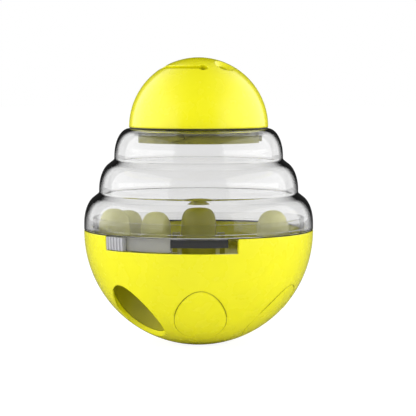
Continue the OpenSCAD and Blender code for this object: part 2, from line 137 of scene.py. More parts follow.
@named
class CoverSizes(bpy.types.PropertyGroup):
    """Sizes of the clear cover and the two seals"""
    foot: length("Height of the cover's foot", 0.0504)
    wall: length("Thickness of the wall", 0.0013)
    step: length("Height from one tier to the next", 0.0145)
    rise: length("Height of the top shoulder", 0.0126)
    shoulder: length("Height of a lower shoulder", 0.0121)
    middle_tier: length("Radius of the middle tier", 0.04345)
    top_tier: length("Radius of the top tier", 0.0368)
    lean: angle("Greatest angle by which a shoulder leans in", 52)
    top: length("Height of the cover's top", 0.09417)
    mouth: length("Inner radius of the mouth", 0.0266)
    mouth_wall: length("Thickness of the mouth's wall", 0.0016)
    mouth_low: length("Height of the mouth's lower edge", 0.0915)
    seal_in: length("Inner radius of the cap's seal", 0.0288)
    seal_out: length("Outer radius of the cap's seal", 0.03013)
    seal_low: length("Height of the cap's seal", 0.09397)
    foot_seal_in: length("Inner radius of the foot's seal", 0.0481)
    foot_seal_out: length("Outer radius of the foot's seal", 0.0491)
    fillet: length("Hollow fillet at each step", 0.0013)
    collar: length("Inner radius of the foot's collar", 0.0464)
    collar_height: length("Height of the foot's collar", 0.0012)


@named
class RingSizes(bpy.types.PropertyGroup):
    """Sizes of the adjusting ring and its thumb tab"""
    inside: length("Inner radius of the ring", 0.0445)
    outside: length("Outer radius of the ring", 0.0461)
    band: length("Outer radius of the band in the notch", 0.04734)
    low: length("Height of the ring's lower edge", 0.0392)
    high: length("Height of the ring's upper edge", 0.0556)
    window: length("Height of the window's lower edge", 0.0414)
    skirt: length("Height of the skirt's lower edge", 0.0442)
    band_low: length("Height of the upper band's lower edge", 0.0462)
    band_high: length("Height of the upper band's upper edge", 0.0497)
    leaf: length("Thickness of the gate leaf", 0.0012)
    leaf_in: length("Inner radius of the gate leaf", 0.0228)
    leaf_from: angle("Where the gate leaf starts", -67)
    leaf_to: angle("Where the gate leaf ends", -12)
    tab_from: angle("Where the thumb tab starts", -50.95)
    tab_to: angle("Where the thumb tab ends", -39.55)
    skirt_from: angle("Where the skirt in the notch starts", -51.95)
    skirt_to: angle("Where the skirt in the notch ends", -14.3)
    band_from: angle("Where the dark band starts", -14.24)
    band_to: angle("Where the dark band ends", 15)
    window_from: angle("Where the window starts", -10.5)
    window_to: angle("Where the window ends", 16.5)
    rib_depth: length("Depth of the grooves in the thumb tab", 0.0005)
    ribs: (bpy.props.IntProperty, dict(description="Grooves in the thumb tab", default=5))


@named
class PegSizes(bpy.types.PropertyGroup):
    """Sizes of the pegs and the column on the tray"""
    floor: length("Height of the tray's floor", 0.039)
    radius: length("Radius of a peg's foot", 0.0069)
    draft: length("How much a peg narrows up to its round top", 0.0004)
    round_height: length("Height of a peg's round top", 0.008)
    wall: length("Wall of a peg", 0.0014)
    tall: length("Height of the outer pegs", 0.0209)
    short: length("Height of the inner pegs", 0.0191)
    column: length("Radius of the column's cap", 0.0078)
    shoulder: length("Height of the column's shoulder", 0.0464)
    column_top: length("Height of the column's top", 0.0621)
    column_round: length("Height of the column's round top", 0.0098)
    flange: length("Radius of the column cap's flange", 0.0089)
    flange_height: length("Height of that flange", 0.0009)


@named
class Colours(bpy.types.PropertyGroup):
    """Colours of the plastics"""
    yellow: colour("Lemon yellow of the bowl and cap", (0.88, 0.838, 0.004))
    inner: colour("Shaded yellow of the pieces inside", (0.24, 0.225, 0.002))
    chute: colour("Shaded yellow of the outlet's tube", (0.34, 0.32, 0.005))
    # Painted shade and painted reflection: the pegs' yellow is darkened for the cover's shade and whitened
    # for the reflections on the cover in front of them.
    pale: colour("Veiled yellow of the pegs", (0.50, 0.485, 0.15))
    clear: colour("Tint of the clear cover", (0.907, 0.907, 0.907))
    smoky: colour("Tint of the smoky ring", (0.90, 0.90, 0.89))
    # Painted reflection: the skirt's pale milky tint stands in for the softboxes' reflection on the ring.
    milky: colour("Pale tint of the ring's skirt", (0.56, 0.56, 0.56))
    band: colour("Dark tint of the ring's band", (0.075, 0.075, 0.08))
    grey: colour("Light grey of the thumb tab", (0.46, 0.46, 0.48))
    seal: colour("Dark grey of the seals", (0.02, 0.02, 0.02))
    steel: colour("Grey of the screws", (0.5, 0.51, 0.53))
    iron: colour("Dark grey of the counterweight", (0.09, 0.09, 0.095))


@named
class StageSettings(bpy.types.PropertyGroup):
    """Camera and lights"""
    distance: length("Distance of the camera from its aim", 0.75)
    aim: length("Height that the camera looks at", 0.0625)
    elevation: angle("Angle of the camera above the horizon", 4.105)
    lens: number("Focal length in millimetres", 148.4, "CAMERA")
    shift_x: number("Shift to the right as a share of the frame", 0.0225)
    shift_y: number("Shift upwards as a share of the frame", -0.0176)
    lamp_angle: angle("Angle of each softbox from the front", 77)
    lamp_distance: length("Distance of each softbox from the axis", 0.56)
    lamp_middle: length("Height of each softbox's middle", 0.08)
    lamp_width: length("Width of each softbox", 1.014)
    lamp_tall: length("Height of each softbox", 1.1)
    lamp_radiance: number("Brightness of the two softboxes", 1.87)
    panel: number("Brightness of the two soft panels that gloss mirrors", 0.95)
    inside: number("Brightness of the room that lights what stands under the cover", 1.6)
    ambient: number("Brightness of the room on plain surfaces", 0.5)


def turned(radius, azimuth, height):
    """Points at a distance from the axis, an angle in degrees from the front and a height: x is the
    distance times the angle's sine and y is minus the distance times its cosine."""
    radius, azimuth, height = np.broadcast_arrays(radius, np.radians(azimuth), height)
    return np.stack((radius * np.sin(azimuth), -radius * np.cos(azimuth), height), axis=-1)


def revolve(profile, azimuth):
    """A grid with a row for each point of a profile of distances and heights, carried round the axis."""
    profile = np.asarray(profile)
    return turned(profile[:, None, 0], azimuth[None, :], profile[:, None, 1])


def cells(grid):
    """The four corners of each cell of a grid of points."""
    return np.stack((grid[:-1, :-1], grid[1:, :-1], grid[1:, 1:], grid[:-1, 1:]), axis=2)


def loops(rows):
    """Cells between rows of points that each run round to their own start."""
    return cells(np.concatenate((rows, rows[:, :1]), axis=1)).reshape(-1, 4, 3)


def bend(start, corner, end, steps=5):
    """A quadratic curve from start to end that leans on the corner: the weights at s are one less s
    squared, twice s times one less s, and s squared."""
    s = np.linspace(0.0, 1.0, steps)[:, None, None]
    return (1 - s) ** 2 * start + 2 * s * (1 - s) * corner + s ** 2 * end


def rounded(corners, size, steps):
    """A closed profile whose corners are cut back by size and bridged by quadratic curves."""
    corners = np.asarray(corners, dtype=float)
    before = np.roll(corners, 1, axis=0) - corners
    after = np.roll(corners, -1, axis=0) - corners
    start = corners + before / np.linalg.norm(before, axis=1, keepdims=True) * size
    end = corners + after / np.linalg.norm(after, axis=1, keepdims=True) * size
    return bend(start, corners, end, steps).swapaxes(0, 1).reshape(-1, 2)


def shell(outer, inner, keep, open_foot=False, wrap=True):
    """Quads of a wall with two skins over one grid: each kept cell gives a quad of each skin, and each
    line between a kept cell and a missing one gives a quad across the wall, but not along an open foot."""
    along = np.pad(keep, ((1, 1), (0, 0)), mode="wrap" if wrap else "constant")
    across = np.pad(keep, ((0, 0), (1, 1)))
    if open_foot:
        across[:, 0] = keep[:, 0]
    edge_u = along[:-1] != along[1:]
    edge_v = across[:, :-1] != across[:, 1:]
    if wrap:
        outer, inner = (np.concatenate((skin, skin[:1])) for skin in (outer, inner))
        edge_u[-1] = False
    wall_u = np.stack((outer[:, :-1], outer[:, 1:], inner[:, 1:], inner[:, :-1]), axis=2)[edge_u]
    wall_v = np.stack((outer[:-1], outer[1:], inner[1:], inner[:-1]), axis=2)[edge_v]
    return np.concatenate((cells(outer)[keep], cells(inner)[keep], wall_u, wall_v))


def block(inside, outside, low, high, start, end, steps):
    """Quads of part of a ring of rectangular section, between two angles in degrees."""
    azimuth = np.linspace(start, end, steps + 1)
    outer, inner = (turned(radius, azimuth[:, None], np.array([low, high])) for radius in (outside, inside))
    return shell(outer, inner, np.ones((steps, 1), bool), wrap=False)


def border(grid):
    """The points round the border of a grid, once round."""
    return np.concatenate((grid[:-1, 0], grid[-1, :-1], grid[:0:-1, -1], grid[0, :0:-1]))


def put_piece(name, quads, body, material, replaced, bevel=0.0, smooth=35.0):
    """Makes a closed smooth mesh of quads whose corners meet, rides it on its body and lets it stand
    for the nodes it replaces."""
    corners = np.concatenate([q.reshape(-1, 3) for q in quads])
    _, first, index = np.unique(
        np.round(corners * 4 / WELD).astype(np.int64), axis=0, return_index=True, return_inverse=True)
    faces = index.reshape(-1, 4)
    doubled = faces == np.roll(faces, -1, axis=1)
    count = doubled.sum(axis=1)
    thin = faces[count == 1][~doubled[count == 1]].reshape(-1, 3)
    mesh = bpy.data.meshes.new(name)
    mesh.from_pydata(corners[first], [], faces[count == 0].tolist() + thin.tolist())
    work = bmesh.new()
    work.from_mesh(mesh)
    bmesh.ops.remove_doubles(work, verts=work.verts, dist=WELD)
    bmesh.ops.recalc_face_normals(work, faces=work.faces)
    work.to_mesh(mesh)
    work.free()
    mesh.shade_smooth()
    mesh.set_sharp_from_angle(angle=math.radians(smooth))
    piece = bpy.data.objects.new(name, mesh)
    bpy.context.scene.collection.objects.link(piece)
    piece.data.materials.append(material)
    if bevel:
        rounding = piece.modifiers.new("rounded edges", "BEVEL")
        rounding.width = bevel
        rounding.segments = 3
        rounding.limit_method = "ANGLE"
        rounding.angle_limit = math.radians(BEVEL_FROM)
        rounding.use_clamp_overlap = False
    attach(piece, body)
    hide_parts(*replaced)


def add(tree, kind, **settings):
    """A new node with the given settings."""
    node = tree.nodes.new(kind)
    for key, value in settings.items():
        setattr(node, key, value)
    return node


def fresh_tree(owner):
    """The emptied node tree of a new material or world."""
    owner.use_nodes = True
    owner.node_tree.nodes.clear()
    return owner.node_tree


def join(tree, values):
    """Links levels to sockets, or writes plain numbers on them."""
    for socket, value in values.items():
        if isinstance(value, Level):
            tree.links.new(value.socket, socket)
        else:
            socket.default_value = value


class Level:
    """A number that a node gives. Each sum, product or step of levels and plain numbers adds a node."""

    def __init__(self, tree, socket):
        self.tree = tree
        self.socket = socket

    def maths(self, operation, *others):
        """The outcome of a maths node over this level and others."""
        node = add(self.tree, "ShaderNodeMath", operation=operation)
        join(self.tree, dict(zip(node.inputs, (self, *others))))
        return Level(self.tree, node.outputs[0])

    __add__ = partialmethod(maths, "ADD")
    __sub__ = partialmethod(maths, "SUBTRACT")
    __mul__ = partialmethod(maths, "MULTIPLY")
    __truediv__ = partialmethod(maths, "DIVIDE")
    __pow__ = partialmethod(maths, "POWER")
    __abs__ = partialmethod(maths, "ABSOLUTE")
    at_least = partialmethod(maths, "MAXIMUM")
    at_most = partialmethod(maths, "MINIMUM")

    def __rsub__(self, number):
        """A plain number less this level."""
        return self * -1.0 + number

    def step(self, low, high, low_out, high_out):
        """A smooth step from one outcome to another while the level goes from low to high."""
        node = add(self.tree, "ShaderNodeMapRange", interpolation_type="SMOOTHSTEP")
        names = ("Value", "From Min", "From Max", "To Min", "To Max")
        join(self.tree, dict(zip((node.inputs[n] for n in names), (self, low, high, low_out, high_out))))
        return Level(self.tree, node.outputs["Result"])


def parts_of(tree, vector):
    """The three parts of a vector."""
    split = add(tree, "ShaderNodeSeparateXYZ")
    tree.links.new(vector, split.inputs[0])
    return (Level(tree, split.outputs[axis]) for axis in "XYZ")


def surface(name, base, spread, polish, scales, relief, sockets):
    """A material whose colour drifts by a share either way and whose roughness lies between two values,
    with noise at the given scales per metre over the object's own coordinates. A relief has a strength, a
    depth and a detail, and its noise has the third scale. The other sockets get the given values."""
    material = bpy.data.materials.get(name)
    if material:
        return material
    material = bpy.data.materials.new(name)
    tree = fresh_tree(material)
    output = add(tree, "ShaderNodeOutputMaterial")
    shader = add(tree, "ShaderNodeBsdfPrincipled")
    tree.links.new(shader.outputs["BSDF"], output.inputs["Surface"])
    place = add(tree, "ShaderNodeTexCoord").outputs["Object"]

    def noise(scale, detail=3.0):
        node = add(tree, "ShaderNodeTexNoise")
        join(tree, {node.inputs["Scale"]: scale, node.inputs["Detail"]: detail})
        tree.links.new(place, node.inputs["Vector"])
        return node.outputs["Fac"]

    ramp = add(tree, "ShaderNodeValToRGB")
    for end, position, factor in zip(ramp.color_ramp.elements, NOISE_ENDS, (1 - spread, 1 + spread)):
        end.position = position
        end.color = (*[min(c * factor, 1.0) for c in base], 1.0)
    tree.links.new(noise(scales[0]), ramp.inputs["Fac"])
    tree.links.new(ramp.outputs["Color"], shader.inputs["Base Color"])
    gloss = add(tree, "ShaderNodeMapRange")
    for key, value in zip(("From Min", "From Max", "To Min", "To Max"), (*NOISE_ENDS, *polish)):
        gloss.inputs[key].default_value = value
    tree.links.new(noise(scales[1]), gloss.inputs["Value"])
    tree.links.new(gloss.outputs["Result"], shader.inputs["Roughness"])
    if relief:
        strength, depth, detail = relief
        bump = add(tree, "ShaderNodeBump")
        join(tree, {bump.inputs["Strength"]: strength, bump.inputs["Distance"]: depth})
        tree.links.new(noise(scales[2], detail), bump.inputs["Height"])
        tree.links.new(bump.outputs["Normal"], shader.inputs["Normal"])
    for key, value in sockets.items():
        shader.inputs[key].default_value = value
    return material


def moulded(name, base, low, high, coat=0.0, coat_ior=1.5):
    """Moulded plastic: a faint drift of colour and gloss with a fine skin from the mould."""
    return surface(name, base, 0.02, (low, high), (55.0, 140.0, 1600.0), (0.05, 0.00004, 2.0), {
        "IOR": PLASTIC_IOR, "Coat Weight": coat, "Coat IOR": coat_ior, "Coat Roughness": 0.06})


def clear_plastic(name, base, low, high, spread, clearness=1.0, ior=PLASTIC_IOR):
    """Clear plastic that bends light, with a trace of drift in its tint and polish, milky where its
    clearness is less than one."""
    return surface(name, base, spread, (low, high), (30.0, 80.0), None, {
        "IOR": ior, "Transmission Weight": clearness})


def metal(name, base, low, high, scale):
    """Metal with a grained gloss and skin."""
    return surface(name, base, 0.12, (low, high), (scale, scale * 3, scale * 6), (0.15, 0.0001, 3.0), {
        "Metallic": 1.0})


def dim(material, share):
    """Multiplies a material's colour by a level."""
    tree = material.node_tree
    colour_in = tree.nodes["Principled BSDF"].inputs["Base Color"]
    scaled = add(tree, "ShaderNodeVectorMath", operation="SCALE")
    tree.links.new(colour_in.links[0].from_socket, scaled.inputs[0])
    join(tree, {scaled.inputs["Scale"]: share})
    tree.links.new(scaled.outputs[0], colour_in)


def painted_dark_edges(material, start, end, start_drop, end_drop):
    """Paints dark rims into clear plastic where it is first seen nearly edge-on, as painted shade that stands
    in for the dark surroundings seen through its edges: a smooth step between two values of facing, which
    drop by the given shares of the upward part of the normal, but not on level skins."""
    tree = material.node_tree
    facing = Level(tree, add(tree, "ShaderNodeLayerWeight").outputs["Facing"])
    depth = Level(tree, add(tree, "ShaderNodeLightPath").outputs["Transmission Depth"])
    _, _, rising = parts_of(tree, add(tree, "ShaderNodeNewGeometry").outputs["Normal"])
    slope = rising.at_least(0.0) * rising.step(0.8, 0.95, 1.0, 0.0)
    share = facing.step(start - slope * start_drop, end - slope * end_drop, 1.0, 0.0)
    dim(material, share.at_least(depth.at_most(1.0)))


def painted_crevice_shade(material, reach, power):
    """Paints shade into plastic in slits and gaps: its colour times the open share of its surroundings within
    a reach, to a power."""
    tree = material.node_tree
    if not tree.nodes.get("open share"):
        open_share = add(tree, "ShaderNodeAmbientOcclusion", name="open share", samples=8)
        open_share.inputs["Distance"].default_value = reach
        dim(material, Level(tree, open_share.outputs["AO"]) ** power)
    return material


def yellow_outside(colours):
    """Glossy lemon yellow of the bowl, its blanks and the cap, with painted shade in its slits and gaps."""
    plastic = moulded("lemon plastic", colours.yellow, 0.24, 0.30, coat=0.6, coat_ior=1.6)
    return painted_crevice_shade(plastic, reach=0.0015, power=0.9)


def yellow_inside(colours):
    """The same plastic in the shade of the cover."""
    return moulded("shaded lemon plastic", colours.inner, 0.42, 0.50)


def dress_node(name, material):
    """Gives a kept CAD node its material."""
    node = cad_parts[name]
    for slot in node.material_slots:
        slot.material = material


def ball_points(plan, radius, middle):
    """Points of the lower half of a ball over points of the plan: the height is the middle less the
    root of the radius squared less the distance from the axis squared."""
    drop = np.sqrt(np.maximum(radius ** 2 - (plan ** 2).sum(axis=-1), 0.0))
    return np.concatenate((plan, (middle - drop)[..., None]), axis=-1)


def fill(start, end, share):
    """Rows that run straight from one row of points to another, at the given shares of the way."""
    return start + (end - start) * share[:, None, None]


class TUMBLER_OT_bowl(bpy.types.Operator):
    """Builds the bowl with its notch, outlet and seats for the blanks"""
    bl_idname = "tumbler.bowl"
    bl_label = "Bowl"

    def execute(self, context):
        s = context.scene.tumbler_bowl
        inside = s.radius - s.wall
        flat = math.sqrt(s.radius ** 2 - s.middle ** 2)
        notch = (math.degrees(s.notch_from), math.degrees(s.notch_to))
        holes = [(math.degrees(s.outlet_angle), s.outlet_reach)]
        holes += [(math.degrees(s.blank_angle + i * s.blank_step), s.blank_reach) for i in range(5)]
        turns = [a for a, _ in holes] + [holes[0][0] + 360.0]
        bounds = [(a + b) / 2 for a, b in zip(turns, turns[1:])]
        bounds = [bounds[-1] - 360.0] + bounds
        quads, ring = [], []
        # Shares of the way from the outline to a hole, and degrees between points of the outline
        near, spacing = np.linspace(0.0, 1.0, 13) ** 0.8, 1.15
        for (azimuth, reach), start, end in zip(holes, bounds, bounds[1:]):
            across = np.linspace(start, end, round((end - start) / spacing) + 1)
            for side in notch:
                if start < side < end:
                    across[np.abs(across - side).argmin()] = side
            ring.append(across[:-1])
            outline = border(turned(np.linspace(flat, s.belt, 34), across[:, None], 0.0)[..., :2])
            middle = turned(reach, azimuth, 0.0)[:2]
            ray = outline - middle
            ray /= np.linalg.norm(ray, axis=1, keepdims=True)
            edge, wide = middle + ray * s.hole, middle + ray * (s.hole + s.edge)
            plan = fill(outline, wide, near)
            outer, inner = (ball_points(plan, r, s.middle) for r in (s.radius, inside))
            corner = ball_points(edge, s.radius, s.middle)
            lift = corner + (0.0, 0.0, s.edge)
            top = ball_points(edge, inside, s.middle)
            lip = bend(outer[-1], corner, lift)
            wall = fill(lift, top, np.linspace(0.0, 1.0, 4))
            quads.append(loops(np.concatenate((outer, lip[1:], wall[1:], inner[::-1]))))
        ring = np.concatenate(ring)
        skins = []
        for radius in (s.radius, inside):
            low = s.middle - math.sqrt(radius ** 2 - s.belt ** 2)
            height = np.append(np.linspace(low, s.notch_low, 9)[:-1], np.linspace(s.notch_low, s.rim, 17))
            skins.append(turned(np.sqrt(radius ** 2 - (height - s.middle) ** 2), ring[:, None], height))
        nudge = 0.01
        in_notch = (ring > notch[0] - nudge) & (ring < notch[1] - nudge)
        keep = ~(in_notch[:, None] & (height[:-1] >= s.notch_low))
        quads.append(shell(*skins, keep, open_foot=True))
        rings = turned(np.linspace(flat, 0.0, 7)[:, None], ring, 0.0)
        quads += [loops(rings), loops(ball_points(rings[..., :2], inside, s.middle))]
        colours = context.scene.tumbler_colours
        yellow = yellow_outside(colours)
        put_piece("bowl", quads, "bowl", yellow, ["bowl_shell"], s.edge)
        dress_node("outlet_chute", moulded("chute plastic", colours.chute, 0.30, 0.38))
        return {"FINISHED"}


class TUMBLER_OT_blanks(bpy.types.Operator):
    """Builds the five round blanks that close the bowl's other openings"""
    bl_idname = "tumbler.blanks"
    bl_label = "Blanks"

    def execute(self, context):
        s = context.scene.tumbler_bowl
        colours = context.scene.tumbler_colours
        radius = s.hole - s.blank_gap
        inside = s.radius - s.wall
        around = np.radians(np.arange(0, 360, 2.5))
        spoke = np.stack((np.cos(around), np.sin(around)), axis=-1)

        def disc(middle, reach, ball):
            """Rows round the blank on a ball, at distances from the blank's middle."""
            points = ball_points(middle + np.asarray(reach)[:, None, None] * spoke, ball, s.middle)
            points[..., 2] = np.minimum(points[..., 2], s.blank_top)
            return points

        for i in range(5):
            middle = turned(s.blank_reach, math.degrees(s.blank_angle + i * s.blank_step), 0.0)[:2]
            face = disc(middle, np.linspace(0.0, radius - s.edge, 12), s.radius)
            corner = disc(middle, [radius], s.radius)[0]
            lip = bend(face[-1], corner, corner + (0.0, 0.0, s.edge))
            seat = disc(middle, [radius, s.hole + s.flange], inside - s.blank_gap)
            back = disc(middle, np.linspace(s.hole + s.flange, 0.0, 10), inside - s.flange_wall)
            rows = np.concatenate((face, lip[1:], seat, back))
            put_piece(f"blank_{i + 1}", [loops(rows)], "bowl", yellow_outside(colours),
                      [f"outlet_blank_{i + 1}"])
        return {"FINISHED"}


def cap_radius(direction, s, holes):
    """Distance of the cap's outer skin from its middle along directions: the cap's radius, or where a
    dish reaches deeper, the near root of the dish's ball, joined by a short smooth blend."""
    radius = np.full(direction.shape[:-1], s.radius)
    far = s.radius - s.dish_depth + s.dish
    soft = 0.0004
    for hole in holes:
        lean = direction @ hole
        inside = s.dish ** 2 - far ** 2 * (1 - lean ** 2)
        dish = np.where((inside > 0) & (lean > 0), far * lean - np.sqrt(np.maximum(inside, 0)), 1.0)
        share = np.clip(0.5 + 0.5 * (radius - dish) / soft, 0.0, 1.0)
        radius = radius * (1 - share) + dish * share - soft * share * (1 - share)
    return radius


def pointing(azimuth, tilt):
    """Unit directions at angles in degrees round from the front and down from the top."""
    tilt = np.radians(tilt)
    return turned(np.sin(tilt), azimuth, np.cos(tilt))


def round_hole(outline, azimuth, tilt, spread):
    """Angles of the points of a circle on the cap, each in the direction of a point of the outline."""
    axis = pointing(azimuth, tilt)
    side = turned(1.0, azimuth + 90.0, 0.0)
    down = np.cross(axis, side)
    ray = pointing(outline[:, 0], outline[:, 1])
    turn = np.arctan2(ray @ down, ray @ side)
    circle = (math.cos(spread) * axis + math.sin(spread) * (
        np.cos(turn)[:, None] * side + np.sin(turn)[:, None] * down))
    return np.stack((np.degrees(np.arctan2(circle[:, 0], -circle[:, 1])),
                     np.degrees(np.arccos(circle[:, 2]))), axis=1)


def slit_edge(outline, s, widen):
    """Angles of the points of the slit's edge: straight sides at half its width from its middle line,
    and a round bulb at each end, spread evenly over the outline's points beyond the sides."""
    tilt = math.degrees(s.slit_tilt)
    start, end = math.degrees(s.slit_from), math.degrees(s.slit_to)
    half = math.degrees((s.slit_width / 2 + widen) / s.radius)
    bulb = s.slit_bulb + widen
    mouth = math.asin((s.slit_width / 2 + widen) / bulb)
    per_degree = s.radius * math.sin(s.slit_tilt) * math.radians(1.0)
    back = bulb * math.cos(mouth) / per_degree
    edge = outline.copy()
    edge[:, 1] = np.where(outline[:, 1] > tilt, tilt + half, tilt - half)
    for centre, first, beyond in ((start, mouth, outline[:, 0] <= start + back),
                                  (end, mouth - math.pi, outline[:, 0] >= end - back)):
        index = np.flatnonzero(beyond)
        gap = np.flatnonzero(np.diff(index) > 1)
        if len(gap):
            index = np.roll(index, -(gap[0] + 1))
        run = np.linspace(first, first + 2 * (math.pi - mouth), len(index))
        edge[index, 0] = centre + bulb * np.cos(run) / per_degree
        edge[index, 1] = tilt + np.degrees(bulb * np.sin(run) / s.radius)
    return edge


class TUMBLER_OT_cap(bpy.types.Operator):
    """Builds the domed cap with its slit and its two dished holes"""
    bl_idname = "tumbler.cap"
    bl_label = "Cap"

    def execute(self, context):
        s = context.scene.tumbler_cap
        inside = s.radius - s.wall
        columns = np.arange(-180.0, 180.0, 1.5)
        rows = np.arange(0.0, 90.1, 1.5)
        tilt = math.degrees(s.hole_tilt)
        turns = [math.degrees(s.hole_right), math.degrees(s.hole_left)]
        holes = [pointing(a, tilt) for a in turns]

        def skin(angles):
            """Points of the outer skin at angles round and down."""
            direction = pointing(angles[..., 0], angles[..., 1])
            return direction * cap_radius(direction, s, holes)[..., None] + (0.0, 0.0, s.low)

        def lining(angles):
            """Points of the inner skin at angles round and down."""
            return pointing(angles[..., 0], angles[..., 1]) * inside + (0.0, 0.0, s.low)

        def span(values, low, high):
            """The part of a line of values between those nearest to two limits."""
            return slice(np.abs(values - low).argmin(), np.abs(values - high).argmin() + 1)

        grid = np.stack(np.meshgrid(columns, rows, indexing="ij"), axis=-1)
        keep = np.ones((len(columns), len(rows) - 1), bool)
        quads = []
        share = np.linspace(0.0, 1.0, 17) ** 0.85
        # Where each patch runs round and down, in degrees, and the angle of its hole
        patches = [((math.degrees(s.slit_from) - 9, math.degrees(s.slit_to) + 9.5), (24.0, 37.5), None)]
        patches += [((a - 17.5, a + 17.5), (18.0, 37.5), a) for a in turns]
        for (left, right), (top, bottom), turn in patches:
            across, down = span(columns, left, right), span(rows, top, bottom)
            keep[across.start:across.stop - 1, down.start:down.stop - 1] = False
            outline = border(grid[across, down])
            if turn is None:
                edge, wide = slit_edge(outline, s, 0.0), slit_edge(outline, s, s.edge)
            else:
                sizes = (s.hole / s.radius, (s.hole + s.edge) / s.radius)
                edge, wide = (round_hole(outline, turn, tilt, size) for size in sizes)
            outer = skin(fill(outline, wide, share))
            corner = skin(edge)
            toward = lining(edge) - corner
            lift = corner + toward * (s.edge / np.linalg.norm(toward, axis=1, keepdims=True))
            lip = bend(outer[-1], corner, lift)
            wall = fill(lift, lining(edge), np.linspace(0.0, 1.0, 4))
            inner = lining(fill(edge, outline, np.linspace(0.0, 1.0, 6)))
            quads.append(loops(np.concatenate((outer, lip[1:], wall[1:], inner[1:]))))
        outer, inner = skin(grid), lining(grid)
        rim = bend(turned(s.radius, columns, s.low + s.edge), turned(s.radius, columns, s.low),
                   turned(s.radius - s.edge, columns, s.low))
        lip = bend(turned(inside + s.edge, columns, s.low), turned(inside, columns, s.low),
                   turned(inside, columns, s.low + s.edge))
        outer[:, -1] = rim[0]
        inner[:, -1] = lip[-1]
        quads += [cells(np.concatenate((sheet, sheet[:1])))[keep] for sheet in (outer, inner)]
        quads.append(loops(np.concatenate((rim, lip))))
        colours = context.scene.tumbler_colours
        put_piece("cap", quads, "cap", yellow_outside(colours), ["top_cap"])
        dress_node("cap_neck", yellow_inside(colours))
        return {"FINISHED"}


def cover_side(s, cap, base_radius):
    """The cover's side from its foot up: each shoulder is an ellipse up to its greatest lean, a straight
    slope at that lean and a hollow fillet into the next tier, and the last one runs up to the cap's edge."""
    foot = cap.low - s.rise
    tiers = ((base_radius, foot - 2 * s.step, s.middle_tier), (s.middle_tier, foot - s.step, s.top_tier))
    parts = []
    for radius, height, following in tiers:
        width = radius - following
        run = np.linspace(0.0, math.atan(math.tan(s.lean) * s.shoulder / width), 30)
        curve = np.stack((following + width * np.cos(run), height + s.shoulder * np.sin(run)), axis=1)
        slope_end = following + s.fillet * (1 - math.cos(s.lean))
        high = curve[-1, 1] + (curve[-1, 0] - slope_end) / math.tan(s.lean) + s.fillet * math.sin(s.lean)
        turn = np.linspace(math.pi + s.lean, math.pi, 12)
        hollow = np.stack((following + s.fillet * (1 + np.cos(turn)), high + s.fillet * np.sin(turn)), axis=1)
        parts += [curve, hollow]
    run = np.radians(np.linspace(0.0, 88.0, 30))
    parts.append(np.stack((cap.radius + (s.top_tier - cap.radius) * np.cos(run),
                           foot + (s.top - foot) * np.sin(run)), axis=1))
    return np.concatenate(parts)


def moved_in(line, inset):
    """A line of distances and heights moved in by inset, square to its own run."""
    run = np.gradient(line, axis=0)
    square = np.stack((run[:, 1], -run[:, 0]), axis=1)
    return line - square / np.linalg.norm(square, axis=1, keepdims=True) * inset


class TUMBLER_OT_cover(bpy.types.Operator):
    """Builds the clear stepped cover and the two dark seals"""
    bl_idname = "tumbler.cover"
    bl_label = "Cover"

    def execute(self, context):
        scene = context.scene
        s, bowl, cap = scene.tumbler_cover, scene.tumbler_bowl, scene.tumbler_cap
        colours = scene.tumbler_colours
        azimuth = np.arange(0.0, 360.0, 1.25)
        base = bowl.radius
        outside = cover_side(s, cap, base)
        inside = moved_in(outside, s.wall)[::-1]
        edge, gap = 0.0002, 0.00008
        foot = [[s.collar, s.foot], [base - edge, s.foot], [base, s.foot + edge]]
        slot_out, slot_in, mouth_out = s.seal_out + gap, s.seal_in - gap, s.mouth + s.mouth_wall
        top = [[slot_out, s.top], [slot_out, s.seal_low], [slot_in, s.seal_low], [slot_in, s.top],
               [s.mouth, s.top], [s.mouth, s.mouth_low], [mouth_out, s.mouth_low],
               [mouth_out, s.top - s.wall]]
        collar = [[base - s.wall, s.foot + s.collar_height], [s.collar, s.foot + s.collar_height]]
        profile = np.concatenate((foot, outside, top, inside, collar, foot[:1]))
        clear = clear_plastic("clear plastic", colours.clear, 0.0, 0.012, spread=0.01)
        # Painted shade: dark rims where the cover is seen edge-on stand in for the dark surroundings seen
        # through them.
        painted_dark_edges(clear, start=0.70, end=0.85, start_drop=0.32, end_drop=0.16)
        quads = [loops(revolve(profile, azimuth))]
        put_piece("cover", quads, "cover", clear, ["clear_cover"], smooth=28.0)
        soft = moulded("seal rubber", colours.seal, 0.5, 0.6)
        seals = (("foot_seal", "cover_seal", s.foot_seal_in, s.foot_seal_out, bowl.rim, s.foot),
                 ("cap_edge_seal", "cap_seal", s.seal_in, s.seal_out, s.seal_low, cap.low))
        for name, node, r1, r2, low, high in seals:
            corners = [(r1, low), (r2, low), (r2, high), (r1, high)]
            line = rounded(corners, size=0.3 * (high - low), steps=4)
            band = revolve(np.concatenate((line, line[:1])), azimuth)
            put_piece(name, [loops(band)], node, soft, [node])
        return {"FINISHED"}


